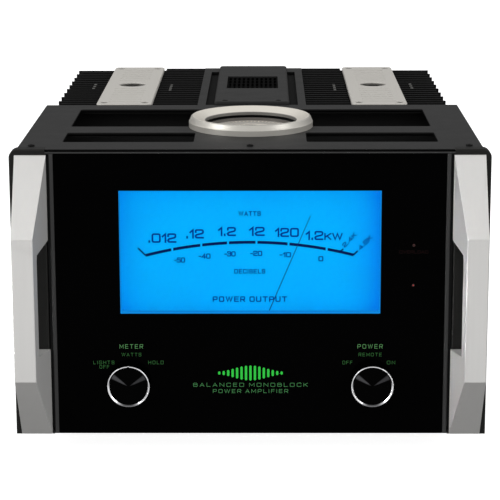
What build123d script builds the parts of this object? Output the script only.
from build123d import *
import os
from math import cos, radians, sin

# Monoblock power amplifier. Millimetres, +Z up, front towards -Y, X to the right seen from the front.
# The origin is at the middle of the footprint, on the surface that the feet stand on.

# ---- Overall sizes -------------------------------------------------------------------------------
overall_width = 444.5
overall_depth = 560.0
foot_height = 20.0
handle_reach = 40.0
front = -overall_depth / 2 + handle_reach     # the glass's front face
rear = overall_depth / 2                      # the heatsinks' rear edge
base = foot_height                            # the front panel's lower edge
glass_height = 270.8
fin_height = 272.0
cover_height = 275.0
cover_top = base + cover_height
sheet = 2.0
plate = 3.0
side_face = 212.0                             # the side panels' outer faces
panel_inner = side_face - plate

# ---- Front panel ---------------------------------------------------------------------------------
glass_half_width = 181.3
glass_thickness = 5.0
window_half_width = 121.5
window_low = 118.5
window_high = 236.0
strip_edge = 185.6
cap_inner = 189.0
cap_outer = overall_width / 2
cap_depth = 12.0
cap_corner = 8.0
subpanel_back = front + 9.0
subpanel_half_width = 188.5
knob_x = 114.4
knob_z = base + 50.5
indicator_x = 152.0
indicator_heights = (base + 145.8, base + 184.1)

# ---- Handles -------------------------------------------------------------------------------------
handle_outer = 217.0
handle_foot_inner = 187.9
handle_bar_inner = 197.2
bar_back = 30.5
handle_screw_x = 203.5
handle_screw_heights = (base + 40.0, base + 222.0)

# ---- Meter ---------------------------------------------------------------------------------------
needle_angle = 22.8
needle_length = 145.0
pivot_z = base + 76.3
dial_depth = 12.2
needle_depth = 10.6

# ---- Cover, ring and vents -----------------------------------------------------------------------
cover_half_width = 215.0
cover_rear = front + 250.0
ring_y = front + 124.0
ring_radius = 60.8
ring_throat = 44.5
cover_hole = 47.0
wide_vent = (front + 120.5, front + 222.5)
slim_vent = (front + 37.0, front + 87.0)
vent_outer = 176.5
slim_inner = 53.0
wide_inner = 40.0
vent_corner = 3.0
lip_drop = 4.5
lip_setback = 5.0

# ---- Rear section --------------------------------------------------------------------------------
spine_inner = 57.0
spine_outer = 65.0
fin_reach = 207.5
short_fin_reach = 203.5
fin_count = 20
fin_thickness = 2.4
fin_gap = 0.05
fins_front = front + 251.0
spine_height = 264.0
inner_fin_end = 103.0
inner_fin_height = 274.4
cap_centre = 134.4
cap_width = 58.0
cap_thickness = 4.0
cap_top = base + fin_height + cap_thickness
cap_screw_sink = 2.2
cap_hole_radius = 14.6
cap_hole_y = front + 386.0
rear_panel_y = front + 487.0
rear_face = rear_panel_y + plate
post_height = base + 150.0
post_positions = {"common": -42.0, "two_ohm": -14.0, "four_ohm": 14.0, "eight_ohm": 42.0}
xlr_x, xlr_z = -26.0, base + 222.0
phono_x, phono_z = 26.0, base + 230.0
selector_x, selector_z = 24.0, base + 200.0
selector_travel = 4.0
inlet_z = base + 42.0

# ---- Fits ----------------------------------------------------------------------------------------
running_clearance = 0.05
shaft_radius = 3.0


def slab(x_range, y_range, z_range, mode=Mode.ADD):
    """A block between two X, two Y and two Z values, added to or cut from the current part."""
    centre = [sum(pair) / 2 for pair in (x_range, y_range, z_range)]
    size = [abs(pair[1] - pair[0]) for pair in (x_range, y_range, z_range)]
    with Locations(tuple(centre)):
        Box(*size, mode=mode)


def rod_along_y(x, z, radius, y_range, mode=Mode.ADD):
    """A round rod or bore parallel to Y."""
    with Locations(Location((x, sum(y_range) / 2, z), (90, 0, 0))):
        Cylinder(radius, abs(y_range[1] - y_range[0]), mode=mode)


def rod_along_z(x, y, radius, z_range, mode=Mode.ADD):
    """A round rod or bore parallel to Z."""
    with Locations((x, y, sum(z_range) / 2)):
        Cylinder(radius, abs(z_range[1] - z_range[0]), mode=mode)


def save(part, label):
    """Labels a finished piece and writes its STEP file."""
    part.label = label
    export_step(part, f"parts/{label}.step")


def save_pair(part, label):
    """Writes a right-hand piece, and its mirror image for the left."""
    save(part, f"{label}_right")
    save(mirror(part, about=Plane.YZ), f"{label}_left")


os.makedirs("parts", exist_ok=True)

# ---- Bottom plate, feet and their screws -----------------------------------------------------------
foot_spots = [(x, y) for x in (-165.0, 165.0) for y in (front + 88.0, rear - 62.0)]
foot_radius = 22.0
foot_screw_radius = 2.5
foot_recess_depth = 12.0
foot_recess_radius = 7.0

with BuildPart() as bottom_plate:
    slab((-side_face, side_face), (front + cap_depth, rear_face), (base, base + plate))
    for x, y in foot_spots:
        rod_along_z(x, y, foot_screw_radius + running_clearance, (base - 1, base + plate + 1), Mode.SUBTRACT)
    with BuildSketch(Plane.XY.offset(base)):
        for side in (-1, 1):
            with Locations((side * cap_centre, fins_front + 118)):
                with GridLocations(40, 13.5, 3, 10):
                    SlotOverall(32, 6)
    extrude(amount=plate, mode=Mode.SUBTRACT)
save(bottom_plate.part, "bottom_plate")

with BuildPart() as feet:
    with BuildSketch(Plane.XY) as foot_profile:
        with Locations(*foot_spots):
            Circle(foot_radius - 3)
    with BuildSketch(Plane.XY.offset(3)):
        with Locations(*foot_spots):
            Circle(foot_radius)
    extrude(foot_profile.sketch, amount=3)
    extrude(amount=foot_height - 3)
    for x, y in foot_spots:
        rod_along_z(x, y, foot_screw_radius + running_clearance, (0, foot_height), Mode.SUBTRACT)
        rod_along_z(x, y, foot_recess_radius, (-1, foot_recess_depth), Mode.SUBTRACT)
save(feet.part, "feet")

with BuildPart() as foot_screws:
    for x, y in foot_spots:
        rod_along_z(x, y, foot_screw_radius, (foot_recess_depth, base + plate))
        rod_along_z(x, y, 5.0, (foot_recess_depth - 3.5, foot_recess_depth))
save(foot_screws.part, "foot_screws")

# ---- Side panels, bulkhead and rear panel ----------------------------------------------------------
with BuildPart() as side_panel:
    slab((panel_inner, side_face), (front + cap_depth, cover_rear - 1), (base + plate, cover_top - sheet))
    with BuildSketch(Plane.YZ.offset(panel_inner)):
        with Locations((front + 131, base + 44)):
            with GridLocations(13, 30, 13, 2):
                SlotOverall(24, 5, rotation=90)
    extrude(amount=plate, mode=Mode.SUBTRACT)
save_pair(side_panel.part, "side_panel")

with BuildPart() as bulkhead:
    slab((-panel_inner, panel_inner), (cover_rear - 4, cover_rear - 1), (base + plate, cover_top - sheet))
    for x in (-32, 32):
        rod_along_y(x, base + 40, 12, (cover_rear - 5, cover_rear), Mode.SUBTRACT)
    slab((-panel_inner, panel_inner), (cover_rear - 16, cover_rear - 4),
         (cover_top - sheet - plate, cover_top - sheet))
save(bulkhead.part, "bulkhead")

with BuildPart() as rear_panel:
    slab((-56.5, 56.5), (rear_panel_y, rear_face), (base + plate, base + 269))
    for x in post_positions.values():
        rod_along_y(x, post_height, 6.0, (rear_panel_y - 1, rear_face + 1), Mode.SUBTRACT)
    rod_along_y(xlr_x, xlr_z, 12.1, (rear_panel_y - 1, rear_face + 1), Mode.SUBTRACT)
    slab((xlr_x - 4.4, xlr_x + 4.4), (rear_panel_y - 1, rear_face + 1), (xlr_z + 8, xlr_z + 16),
         Mode.SUBTRACT)
    rod_along_y(phono_x, phono_z, 4.0, (rear_panel_y - 1, rear_face + 1), Mode.SUBTRACT)
    slab((selector_x - 2.4, selector_x + selector_travel + 2.4), (rear_panel_y - 1, rear_face + 1),
         (selector_z - 2.3, selector_z + 2.3), Mode.SUBTRACT)
    slab((-16, 16), (rear_panel_y - 1, rear_face + 1), (inlet_z - 12.5, inlet_z + 12.5), Mode.SUBTRACT)
save(rear_panel.part, "rear_panel")

# ---- Front subpanel and glass ----------------------------------------------------------------------
bushing_radius = 4.7
led_hole_radius = 2.8
led_tip_radius = 1.3

with BuildPart() as front_subpanel:
    slab((-subpanel_half_width, subpanel_half_width), (subpanel_back - plate, subpanel_back),
         (base + 0.8, base + 269))
    slab((-window_half_width, window_half_width), (front, subpanel_back + 1),
         (base + window_low, base + window_high), Mode.SUBTRACT)
    slab((-70, 70), (subpanel_back - 0.8, subpanel_back + 1), (pivot_z - 8, base + window_low), Mode.SUBTRACT)
    for x in (-knob_x, knob_x):
        rod_along_y(x, knob_z, bushing_radius + 0.3, (front, subpanel_back + 1), Mode.SUBTRACT)
    for z in indicator_heights:
        rod_along_y(indicator_x, z, led_hole_radius, (front, subpanel_back + 1), Mode.SUBTRACT)
save(front_subpanel.part, "front_subpanel")

with BuildPart() as front_glass:
    slab((-glass_half_width, glass_half_width), (front, front + glass_thickness),
         (base + 0.8, base + glass_height))
    slab((-window_half_width, window_half_width), (front - 1, front + glass_thickness + 1),
         (base + window_low, base + window_high), Mode.SUBTRACT)
    for x in (-knob_x, knob_x):
        rod_along_y(x, knob_z, bushing_radius + 0.5, (front - 1, front + glass_thickness + 1), Mode.SUBTRACT)
    for z in indicator_heights:
        rod_along_y(indicator_x, z, led_tip_radius, (front - 1, front + glass_thickness + 1), Mode.SUBTRACT)
save(front_glass.part, "front_glass")

with BuildPart() as meter_window:
    slab((-window_half_width, window_half_width), (front, front + glass_thickness),
         (base + window_low, base + window_high))
save(meter_window.part, "meter_window")

with BuildPart() as glass_trim:
    slab((glass_half_width, strip_edge), (front, front + 6), (base + 0.8, base + glass_height))
    front_edges = glass_trim.edges().filter_by(Axis.Z).group_by(Axis.Y)[0]
    chamfer(front_edges, 0.6)
save_pair(glass_trim.part, "glass_trim")

with BuildPart() as glass_trim_top:
    slab((-cap_inner, cap_inner), (front, front + 6), (base + glass_height + 0.3, base + glass_height + 1.7))
    slab((-cap_inner, cap_inner), (front + 6, subpanel_back), (base + 269, base + glass_height + 1.7))
save(glass_trim_top.part, "glass_trim_top")

# ---- Corner end caps, handles and the screws that hold them ----------------------------------------
with BuildPart() as end_cap:
    with BuildSketch(Plane.XZ.offset(-front)):
        with Locations(((cap_inner + cap_outer) / 2, base + cover_height / 2)):
            Rectangle(cap_outer - cap_inner, cover_height)
    extrude(amount=-cap_depth)
    outer_edges = end_cap.edges().filter_by(Axis.Y).group_by(Axis.X)[-1]
    fillet(outer_edges.sort_by(Axis.Z)[-1], cap_corner)
    chamfer(end_cap.edges().group_by(Axis.Y)[0], 0.7)
    slab((strip_edge + 0.3, cap_inner + 1), (front + 1, subpanel_back - plate - 0.3), (base, base + 3))
    for z in handle_screw_heights:
        rod_along_y(handle_screw_x, z, 3.05, (front - 1, front + cap_depth + 1), Mode.SUBTRACT)
save_pair(end_cap.part, "end_cap")

with BuildPart() as handle:
    with BuildSketch(Plane.YZ.offset(handle_foot_inner)):
        with BuildLine():
            Polyline(
                (front, base + 0.4),
                (front, base + 269.7),
                (front - handle_reach, base + 199.3),
                (front - handle_reach, base + 63.9),
                close=True,
            )
        make_face()
    extrude(amount=handle_outer - handle_foot_inner)
    with BuildSketch(Plane.XY.offset(base)):
        with BuildLine():
            Polyline(
                (handle_foot_inner - 1, front),
                (handle_foot_inner, front),
                (handle_bar_inner, front - handle_reach),
                (handle_foot_inner - 1, front - handle_reach),
                close=True,
            )
        make_face()
    extrude(amount=cover_height, mode=Mode.SUBTRACT)
    with BuildSketch(Plane.YZ.offset(handle_foot_inner - 1)):
        with BuildLine():
            Polyline(
                (front + 1, base + 83.7),
                (front - bar_back, base + 85.5),
                (front - bar_back, base + 177),
                (front - bar_back + 1, base + 182),
                (front + 1, base + 189.4),
                close=True,
            )
        make_face()
    extrude(amount=handle_outer - handle_foot_inner + 2, mode=Mode.SUBTRACT)
    facet_edges = handle.edges().filter_by(
        lambda edge: edge.center().Y < front - bar_back - 1 and edge.length > 25
    )
    chamfer(facet_edges, 0.5)
    for z in handle_screw_heights:
        rod_along_y(handle_screw_x, z, 3.0, (front - 9, front + 1), Mode.SUBTRACT)
save_pair(handle.part, "handle")

with BuildPart() as handle_screws:
    for side in (-1, 1):
        for z in handle_screw_heights:
            x = side * handle_screw_x
            rod_along_y(x, z, 3.0, (front - 8.5, front + cap_depth))
            rod_along_y(x, z, 4.8, (front + cap_depth, front + cap_depth + 4))
            rod_along_y(x, z, 2.0, (front + cap_depth + 1.5, front + cap_depth + 5), Mode.SUBTRACT)
save(handle_screws.part, "handle_screws")

# ---- Top cover -------------------------------------------------------------------------------------
def cut_vent(x_range, y_range):
    """One round-cornered slot through the cover sheet."""
    with BuildSketch(Plane.XY.offset(cover_top - sheet)) as slot:
        with Locations((sum(x_range) / 2, sum(y_range) / 2)):
            RectangleRounded(x_range[1] - x_range[0], y_range[1] - y_range[0], vent_corner)
    extrude(slot.sketch, amount=sheet, mode=Mode.SUBTRACT)


def add_vent_lip(x_range, y_edge):
    """The stiffening flange set back under a slot's rear edge, with its small forward lip."""
    flange = y_edge + lip_setback
    slab(x_range, (flange, flange + 1.2), (cover_top - lip_drop, cover_top - sheet))
    slab(x_range, (y_edge, flange), (cover_top - lip_drop, cover_top - lip_drop + 0.8))


with BuildPart() as top_cover:
    with BuildSketch(Plane.XY.offset(cover_top - sheet)):
        with Locations((0, (front + cap_depth + cover_rear) / 2)):
            Rectangle(2 * cover_half_width, cover_rear - front - cap_depth)
        with Locations((0, front + 7)):
            Rectangle(2 * (cap_inner - 0.2), 12.8)
    extrude(amount=sheet)
    for side in (-1, 1):
        flange = sorted((side * (cover_half_width - 1.6), side * cover_half_width))
        slab(flange, (front + cap_depth, cover_rear), (cover_top - 14, cover_top - sheet))
    chamfer(top_cover.edges().filter_by(Axis.X).group_by(Axis.Y)[0].sort_by(Axis.Z)[0], 1.7)
    for side in (-1, 1):
        wide = sorted((side * wide_inner, side * vent_outer))
        slim = sorted((side * slim_inner, side * vent_outer))
        cut_vent(wide, wide_vent)
        cut_vent(slim, slim_vent)
    rod_along_z(0, ring_y, ring_radius - 4, (cover_top - sheet, cover_top))
    rod_along_z(0, ring_y, cover_hole, (cover_top - 3, cover_top + 1), Mode.SUBTRACT)
    for side in (-1, 1):
        add_vent_lip(sorted((side * wide_inner, side * vent_outer)), wide_vent[1])
        add_vent_lip(sorted((side * slim_inner, side * vent_outer)), slim_vent[1])
save(top_cover.part, "top_cover")

with BuildPart() as cover_screws:
    for x in (-203, 0, 203):
        rod_along_z(x, front + 16, 3.1, (cover_top, cover_top + 1.5))
        rod_along_z(x, front + 16, 1.6, (cover_top + 0.7, cover_top + 2), Mode.SUBTRACT)
save(cover_screws.part, "cover_screws")

# ---- Ring over the transformer well, its insert and grille -----------------------------------------
ring_profile = [
    (cover_hole + 0.4, 0.0),
    (ring_radius, 0.0),
    (ring_radius, 5.2),
    (ring_radius - 0.6, 6.2),
    (58.6, 10.0),
    (57.4, 10.8),
    (55.8, 10.6),
    (45.4, 6.6),
    (ring_throat, 5.8),
    (ring_throat, 3.4),
    (cover_hole + 0.4, 1.0),
]
insert_profile = [
    (43.0, 1.0),
    (43.0, -6.0),
    (52.0, -6.0),
    (52.0, -7.5),
    (40.4, -7.5),
    (40.4, -3.3),
    (24.5, -3.3),
    (24.5, -1.8),
    (41.6, -1.8),
    (41.6, 1.0),
]
insert_slot_radius = 36.5
insert_slot_count = 60

ring_section = Plane(origin=(0, ring_y, cover_top), x_dir=(1, 0, 0), z_dir=(0, -1, 0))
ring_axis = Axis((0, ring_y, cover_top), (0, 0, 1))

with BuildPart() as trim_ring:
    with BuildSketch(ring_section):
        with BuildLine():
            Polyline(*ring_profile, close=True)
        make_face()
    revolve(axis=ring_axis)
save(trim_ring.part, "trim_ring")

with BuildPart() as ring_insert:
    with BuildSketch(ring_section):
        with BuildLine():
            Polyline(*insert_profile, close=True)
        make_face()
    revolve(axis=ring_axis)
    with BuildSketch(Plane.XY.offset(cover_top - 4)):
        with Locations((0, ring_y)):
            with PolarLocations(insert_slot_radius, insert_slot_count):
                SlotOverall(5, 1.2)
    extrude(amount=3, mode=Mode.SUBTRACT)
save(ring_insert.part, "ring_insert")

with BuildPart() as ring_grille:
    with BuildSketch(Plane.XY.offset(cover_top - 4.8)):
        with Locations((0, ring_y)):
            Circle(40.2)
            with HexLocations(2.6, 13, 13):
                Circle(1.7, mode=Mode.SUBTRACT)
    extrude(amount=1.5)
save(ring_grille.part, "ring_grille")

# ---- Heatsinks, their bright caps and the cap screws -----------------------------------------------
fin_pitch = (rear - fins_front - fin_thickness) / (fin_count - 1)

with BuildPart() as heatsink:
    slab((spine_inner, spine_outer), (fins_front, rear), (base + plate, base + spine_height))
    for fin in range(fin_count):
        start = fins_front + fin * fin_pitch
        fin_y = (start, start + fin_thickness)
        fin_root = spine_outer + fin_gap
        reach = fin_reach if fin % 2 else short_fin_reach
        slab((fin_root, reach), fin_y, (base + plate, base + fin_height))
        slab((spine_inner, fin_root), fin_y, (base + spine_height + fin_gap, base + fin_height))
        slab((spine_inner, inner_fin_end), fin_y, (base + fin_height, base + inner_fin_height))
save_pair(heatsink.part, "heatsink")

groove_rows = [front + 268 + 14.5 * row for row in range(7)]
groove_rows += [front + 417 + 15 * row for row in range(6)]
cap_screw_spots = [(cap_centre + x, y) for x in (-21.5, 21.5) for y in (front + 261, rear - 11)]

with BuildPart() as heatsink_cap:
    with BuildSketch(Plane.XY.offset(base + fin_height)):
        with Locations((cap_centre, (cover_rear + 0.6 + rear) / 2)):
            RectangleRounded(cap_width, rear - cover_rear - 0.6, 5)
        with Locations((cap_centre, cap_hole_y)):
            Circle(cap_hole_radius, mode=Mode.SUBTRACT)
    extrude(amount=cap_thickness)
    chamfer(heatsink_cap.edges().group_by(Axis.Z)[-1], 0.6)
    for y in groove_rows:
        slab((cap_centre - 17, cap_centre + 17), (y - 1.5, y + 1.5), (cap_top - 0.4, cap_top + 1),
             Mode.SUBTRACT)
    rod_along_z(cap_centre, cap_hole_y, cap_hole_radius + 4, (base + fin_height, cap_top - 1.6),
                Mode.SUBTRACT)
    for x, y in cap_screw_spots:
        rod_along_z(x, y, 4.2, (cap_top - cap_screw_sink, cap_top + 1), Mode.SUBTRACT)
save_pair(heatsink_cap.part, "heatsink_cap")

with BuildPart() as heatsink_cap_screws:
    for x, y in cap_screw_spots:
        for side in (-1, 1):
            rod_along_z(side * x, y, 3.9, (cap_top - cap_screw_sink, cap_top - 0.8))
            rod_along_z(side * x, y, 1.6, (cap_top - 1.6, cap_top), Mode.SUBTRACT)
save(heatsink_cap_screws.part, "heatsink_cap_screws")

# ---- Centre deck with its ventilated hood ----------------------------------------------------------
deck_top = base + 274.8
hood_half_width = 39.5
rail_inner = 48.5
rear_bar = 30.0
hood_window = (front + 341, front + 429)

with BuildPart() as center_deck:
    slab((-spine_inner, spine_inner), (cover_rear, rear), (deck_top - 5.8, deck_top - 3.8))
    for side in (-1, 1):
        slab(sorted((side * rail_inner, side * spine_inner)), (cover_rear, rear), (deck_top - 3.8, deck_top))
    slab((-spine_inner, -hood_half_width), (rear - rear_bar, rear), (deck_top - 3.8, deck_top))
    slab((hood_half_width, spine_inner), (rear - rear_bar, rear), (deck_top - 3.8, deck_top))
    slab((-spine_inner, spine_inner), (rear - 3, rear), (deck_top - 3.8, deck_top))
    slab((-26, 26), (hood_window[0] + 3, hood_window[1] - 3), (deck_top - 8, deck_top), Mode.SUBTRACT)
save(center_deck.part, "center_deck")

with BuildPart() as vent_hood:
    with BuildSketch(Plane.XY.offset(deck_top - 3.8)):
        with Locations((0, (cover_rear + rear - 6) / 2)):
            RectangleRounded(2 * hood_half_width, rear - 6 - cover_rear, 4)
    extrude(amount=7.6)
    fillet(vent_hood.edges().group_by(Axis.Z)[-1], 2.6)
    slab((-hood_half_width + 1.5, hood_half_width - 1.5), (cover_rear + 1.5, rear - 7.5),
         (deck_top - 5, deck_top + 2.3), Mode.SUBTRACT)
    slab((-28.2, 28.2), hood_window, (deck_top, deck_top + 5), Mode.SUBTRACT)
    for x in (-28, 28):
        rod_along_z(x, cover_rear + 8, 3.2, (deck_top + 2, deck_top + 5), Mode.SUBTRACT)
save(vent_hood.part, "vent_hood")

with BuildPart() as vent_hood_grille:
    with BuildSketch(Plane.XY.offset(deck_top + 1.3)):
        with Locations((0, sum(hood_window) / 2)):
            Rectangle(66, 100)
            with GridLocations(5, 21, 11, 4):
                SlotOverall(18, 2.6, rotation=90, mode=Mode.SUBTRACT)
    extrude(amount=1)
save(vent_hood_grille.part, "vent_hood_grille")

# ---- Meter -----------------------------------------------------------------------------------------
housing_half_width = 126.0
movement_low, movement_high = pivot_z - 12, pivot_z + 12

with BuildPart() as meter_dial:
    slab((-housing_half_width, housing_half_width), (front + dial_depth, front + dial_depth + 1.2),
         (pivot_z - 13, base + 242))
    rod_along_y(0, pivot_z, 2.0, (front + dial_depth - 1, front + dial_depth + 2), Mode.SUBTRACT)
save(meter_dial.part, "meter_dial")

with BuildPart() as meter_housing:
    slab((-housing_half_width, housing_half_width), (front + dial_depth + 1.2, front + 44),
         (pivot_z - 13, base + 242))
    slab((-housing_half_width + 2, housing_half_width - 2), (front + dial_depth, front + 42),
         (pivot_z - 11, base + 240), Mode.SUBTRACT)
save(meter_housing.part, "meter_housing")

with BuildPart() as meter_movement:
    slab((-17, 17), (front + dial_depth + 1.8, front + 36), (pivot_z - 10.5, pivot_z + 12))
    rod_along_y(0, pivot_z, 1.0 + running_clearance, (front + dial_depth, front + 24), Mode.SUBTRACT)
    for x in (-11, 11):
        slab((x - 2, x + 2), (front + 36, front + 42), (pivot_z - 4, pivot_z + 4))
save(meter_movement.part, "meter_movement")

needle_plane = Plane(
    origin=(0, front + needle_depth, pivot_z),
    x_dir=(cos(radians(needle_angle)), 0, -sin(radians(needle_angle))),
    z_dir=(0, -1, 0),
)
with BuildPart() as meter_needle:
    rod_along_y(0, pivot_z, 3.6, (front + needle_depth - 0.5, front + needle_depth + 0.8))
    rod_along_y(0, pivot_z, 1.0, (front + needle_depth, front + 22))
    with BuildSketch(needle_plane):
        with BuildLine():
            Polyline((-0.45, 0), (-0.3, needle_length), (0.3, needle_length), (0.45, 0), close=True)
        make_face()
        with BuildLine():
            Polyline((-0.6, 0), (-1.6, -11), (1.6, -11), (0.6, 0), close=True)
        make_face()
    extrude(amount=0.5)
save(meter_needle.part, "meter_needle")

with BuildPart() as indicator_leds:
    for z in indicator_heights:
        rod_along_y(indicator_x, z, led_tip_radius - 0.1, (front + 0.2, front + glass_thickness))
        rod_along_y(indicator_x, z, led_hole_radius - 0.1, (front + glass_thickness + 0.1, front + 13))
        rod_along_y(indicator_x, z, led_tip_radius - 0.1, (front + 4, front + 6))
save(indicator_leds.part, "indicator_leds")

# ---- Knobs and rotary switches ---------------------------------------------------------------------
knob_back = -1.5
knob_radius = 19.7
bezel_radius = 20.0
bezel_back = -10.0
bezel_front = -12.2
disc_radius = 17.7
notch_half_width = 1.0
knob_profile = [
    (0, 9.0),
    (shaft_radius, 9.0),
    (shaft_radius, knob_back),
    (knob_radius, knob_back),
    (knob_radius, bezel_back),
    (disc_radius, bezel_back),
    (disc_radius, -11.2),
    (0, -11.2),
]
bezel_profile = [
    (disc_radius + 0.3, bezel_back),
    (bezel_radius, bezel_back),
    (bezel_radius, -11.7),
    (bezel_radius - 0.4, bezel_front),
    (bezel_radius - 1.0, bezel_front),
    (disc_radius + 0.3, -11.2),
]


def knob_plane(x, clock_angle):
    """A frame on a knob's axis: local X across it, local Y along its pointer, local Z out of the front."""
    turn = radians(clock_angle)
    return Plane(origin=(x, front, knob_z), x_dir=(cos(turn), 0, -sin(turn)), z_dir=(0, -1, 0))


for label, x, clock_angle in (("meter", -knob_x, 0.0), ("power", knob_x, 45.0)):
    spin_axis = Axis((x, front, knob_z), (0, 1, 0))
    turned = Plane(origin=(x, front, knob_z), x_dir=(1, 0, 0), z_dir=(0, 0, 1))

    with BuildPart() as knob:
        with BuildSketch(turned):
            with BuildLine():
                Polyline(*knob_profile, close=True)
            make_face()
        revolve(axis=spin_axis)
        rod_along_y(x, knob_z, shaft_radius, (front + 8, front + 22))
    save(knob.part, f"{label}_knob")

    with BuildPart() as bezel:
        with BuildSketch(turned):
            with BuildLine():
                Polyline(*bezel_profile, close=True)
            make_face()
        revolve(axis=spin_axis)
        with BuildSketch(knob_plane(x, clock_angle).offset(0.4 - bezel_back)):
            with Locations((0, bezel_radius - 2)):
                Rectangle(2 * notch_half_width, 8)
        extrude(amount=6, mode=Mode.SUBTRACT)
    save(bezel.part, f"{label}_knob_ring")

    with BuildPart() as switch:
        slab((x - 12.5, x + 12.5), (subpanel_back, front + 26), (knob_z - 12.5, knob_z + 12.5))
        rod_along_y(x, knob_z, bushing_radius, (front + 0.5, subpanel_back))
        rod_along_y(x, knob_z, shaft_radius + running_clearance, (front, front + 23), Mode.SUBTRACT)
        for pin_x in (-8, 0, 8):
            slab((x + pin_x - 1, x + pin_x + 1), (front + 26, front + 31), (knob_z - 9, knob_z - 6))
    save(switch.part, f"{label}_switch")

# ---- Transformers, capacitors and boards -----------------------------------------------------------
def potted_can(x_range, y_range, z_range):
    """A transformer can: a flanged, round-cornered block with its lead-out bushes on top."""
    slab((x_range[0] - 8, x_range[1] + 8), y_range, (z_range[0], z_range[0] + 4))
    with BuildSketch(Plane.XY.offset(z_range[0])) as can:
        with Locations((sum(x_range) / 2, sum(y_range) / 2)):
            RectangleRounded(x_range[1] - x_range[0], y_range[1] - y_range[0], 12)
    extrude(can.sketch, amount=z_range[1] - z_range[0])
    for x in (x_range[0] + 30, x_range[1] - 30):
        rod_along_z(x, sum(y_range) / 2, 9, (z_range[1], z_range[1] + 6))


floor_z = base + plate
with BuildPart() as power_transformer:
    potted_can((-165, -30), (front + 64, front + 194), (floor_z, base + 196))
save(power_transformer.part, "power_transformer")

with BuildPart() as output_autoformer:
    potted_can((38, 158), (front + 68, front + 188), (floor_z, base + 176))
save(output_autoformer.part, "output_autoformer")

with BuildPart() as filter_capacitors:
    for y in (front + 288, front + 347, front + 406):
        rod_along_z(0, y, 27, (floor_z, base + 145))
        rod_along_z(0, y, 24, (base + 143.5, base + 146), Mode.SUBTRACT)
        for x in (-10, 10):
            rod_along_z(x, y, 4, (base + 143.5, base + 149))
save(filter_capacitors.part, "filter_capacitors")

board_rows = [front + 285 + 36 * row for row in range(6)]
with BuildPart() as output_transistors:
    for side in (-1, 1):
        for y in board_rows:
            slab(sorted((side * 51.6, side * spine_inner)), (y - 8, y + 8), (base + 150, base + 171))
            for leg in (-5.4, 0, 5.4):
                slab(sorted((side * 50, side * 52.2)), (y + leg - 0.6, y + leg + 0.6),
                     (base + 152, base + 154))
save(output_transistors.part, "output_transistors")

with BuildPart() as amplifier_board:
    slab((48.4, 50), (front + 264, front + 478), (base + 60, base + 240))
    with BuildSketch(Plane.YZ.offset(48.4)):
        with Locations((front + 358, base + 205)):
            with GridLocations(34, 26, 6, 2):
                Circle(6)
    extrude(amount=-14)
save_pair(amplifier_board.part, "amplifier_board")

with BuildPart() as input_board:
    slab((-44, 44), (front + 458, front + 459.6), (base + 186, base + 252))
    for x in (xlr_x, phono_x):
        slab((x - 7, x + 7), (front + 459.6, front + 464), (base + 214, base + 236))
save(input_board.part, "input_board")

# ---- Rear connectors -------------------------------------------------------------------------------
with BuildPart() as xlr_jack:
    slab((xlr_x - 13, xlr_x + 13), (rear_face, rear_face + 2), (xlr_z - 15.5, xlr_z + 15.5))
    rod_along_y(xlr_x, xlr_z, 11.8, (front + 466, rear_face + 2))
    rod_along_y(xlr_x, xlr_z, 9.9, (front + 468, rear_face + 3), Mode.SUBTRACT)
    slab((xlr_x - 3.6, xlr_x + 3.6), (rear_face - 8, rear_face + 3), (xlr_z + 11, xlr_z + 14.4),
         Mode.SUBTRACT)
save(xlr_jack.part, "xlr_jack")

with BuildPart() as xlr_core:
    rod_along_y(xlr_x, xlr_z, 7.9, (front + 468, rear_face + 1))
    for pin_x, pin_z in ((-3.2, 1.8), (3.2, 1.8), (0, -3.2)):
        rod_along_y(xlr_x + pin_x, xlr_z + pin_z, 1.3, (rear_face - 12, rear_face + 2), Mode.SUBTRACT)
save(xlr_core.part, "xlr_core")

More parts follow.
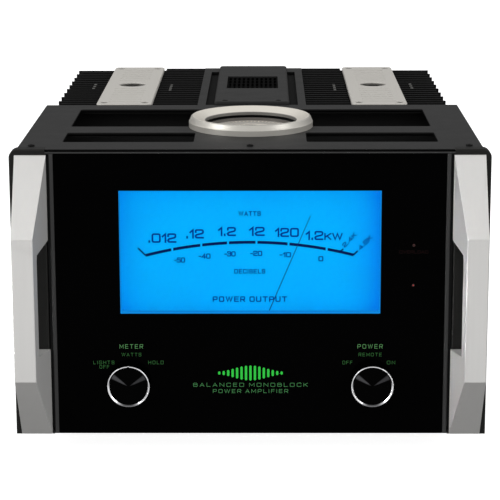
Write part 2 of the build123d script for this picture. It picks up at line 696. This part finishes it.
with BuildPart() as xlr_latch:
    slab((xlr_x - 3.2, xlr_x + 3.2), (rear_face - 4, rear_face + 5), (xlr_z + 11.4, xlr_z + 14))
save(xlr_latch.part, "xlr_latch")

with BuildPart() as phono_jack:
    rod_along_y(phono_x, phono_z, 3.9, (front + 474, rear_face))
    rod_along_y(phono_x, phono_z, 6.4, (rear_face, rear_face + 2))
    rod_along_y(phono_x, phono_z, 4.15, (rear_face + 2, rear_face + 10))
    rod_along_y(phono_x, phono_z, 1.6, (rear_face - 2, rear_face + 11), Mode.SUBTRACT)
save(phono_jack.part, "phono_jack")

with BuildPart() as input_selector:
    slab((selector_x - 2, selector_x + 2), (rear_panel_y - 4, rear_face + 3.5),
         (selector_z - 2, selector_z + 2))
save(input_selector.part, "input_selector")

with BuildPart() as mains_inlet:
    slab((-25, 25), (rear_face, rear_face + 2.5), (inlet_z - 15, inlet_z + 15))
    slab((-15.6, 15.6), (front + 462, rear_face), (inlet_z - 12.2, inlet_z + 12.2))
    slab((-13.5, 13.5), (rear_face - 16, rear_face + 3), (inlet_z - 10, inlet_z + 10), Mode.SUBTRACT)
    for pin_x, pin_z in ((-7, -2), (7, -2), (0, 3)):
        slab((pin_x - 1, pin_x + 1), (rear_face - 16, rear_face - 4),
             (inlet_z + pin_z - 3, inlet_z + pin_z + 3))
    for x in (-20, 20):
        rod_along_y(x, inlet_z, 1.7, (rear_face, rear_face + 3), Mode.SUBTRACT)
save(mains_inlet.part, "mains_inlet")

post_radius = 4.0
with BuildPart() as binding_posts:
    for x in post_positions.values():
        rod_along_y(x, post_height, post_radius, (front + 476, rear))
        rod_along_y(x, post_height, 9.0, (rear_face, rear_face + 6))
save(binding_posts.part, "binding_posts")

nut_profile_radius = 9.4
for tap, x in post_positions.items():
    with BuildPart() as post_nut:
        with BuildSketch(Plane.XZ.offset(-(rear_face + 8))):
            with Locations((x, post_height)):
                Circle(nut_profile_radius)
                with PolarLocations(nut_profile_radius + 0.4, 12):
                    Circle(1.3, mode=Mode.SUBTRACT)
                Circle(post_radius + running_clearance, mode=Mode.SUBTRACT)
        extrude(amount=-15)
    save(post_nut.part, f"post_nut_{tap}")
